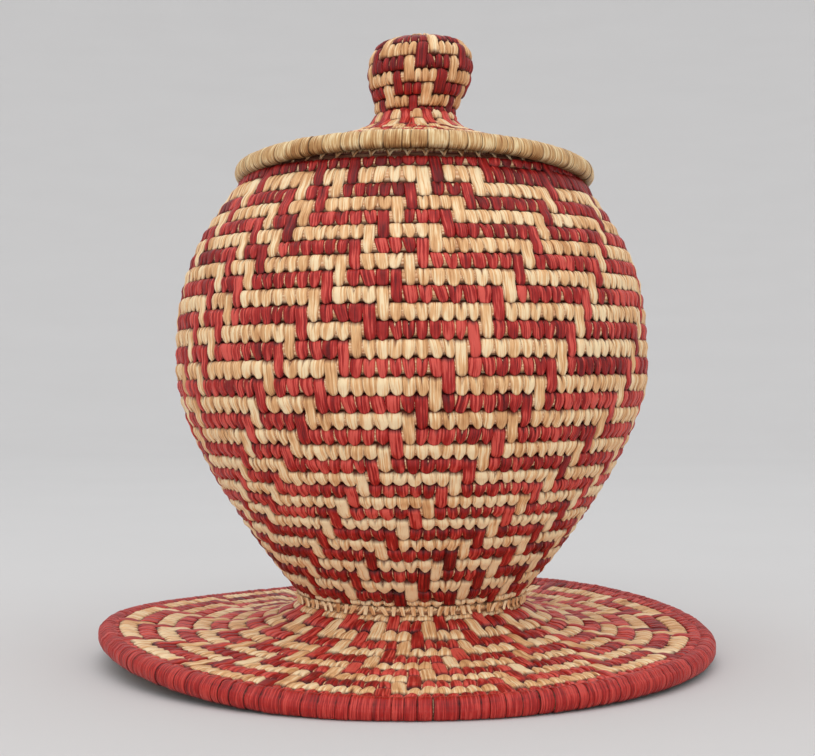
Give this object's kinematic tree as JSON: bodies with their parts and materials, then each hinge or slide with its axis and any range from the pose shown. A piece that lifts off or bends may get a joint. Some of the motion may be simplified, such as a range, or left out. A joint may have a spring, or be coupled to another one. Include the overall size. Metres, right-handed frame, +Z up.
{
  "type": "lidded grass basket",
  "caption": "Vase-shaped basket of coiled grass on a wide flared foot, with a lift-off lid, a wrapped rim and a round knob.",
  "frame": {"origin": "centre of the foot, on the surface that the basket stands on", "axes": "+Z up through the knob; -Y towards the side that the picture shows; +X to its right"},
  "size_m": [0.2374, 0.2374, 0.241],
  "materials": {
    "natural_grass": "undyed grass and leaf strips, dry, straw to light brown",
    "red_grass": "dyed leaf strips, dry, deep red",
    "striped_grass": "coil turns wrapped by turns in undyed and in red strips"
  },
  "bodies": {
    "vessel": {"foot_rim": "red_grass", "foot_brim": "striped_grass", "waist_lashing": "natural_grass", "vessel_floor": "natural_grass", "vessel_wall": "striped_grass", "mouth_rim": "natural_grass"},
    "lid": {"lid_rim": "natural_grass", "lid_dome": "striped_grass", "lid_collar": "natural_grass", "knob": "striped_grass"}
  },
  "joints": [
    {"name": "lid_lift", "type": "slide", "parent": "vessel", "child": "lid", "axis": [0, 0, 1], "range_m": [0, 0.15]}
  ]
}
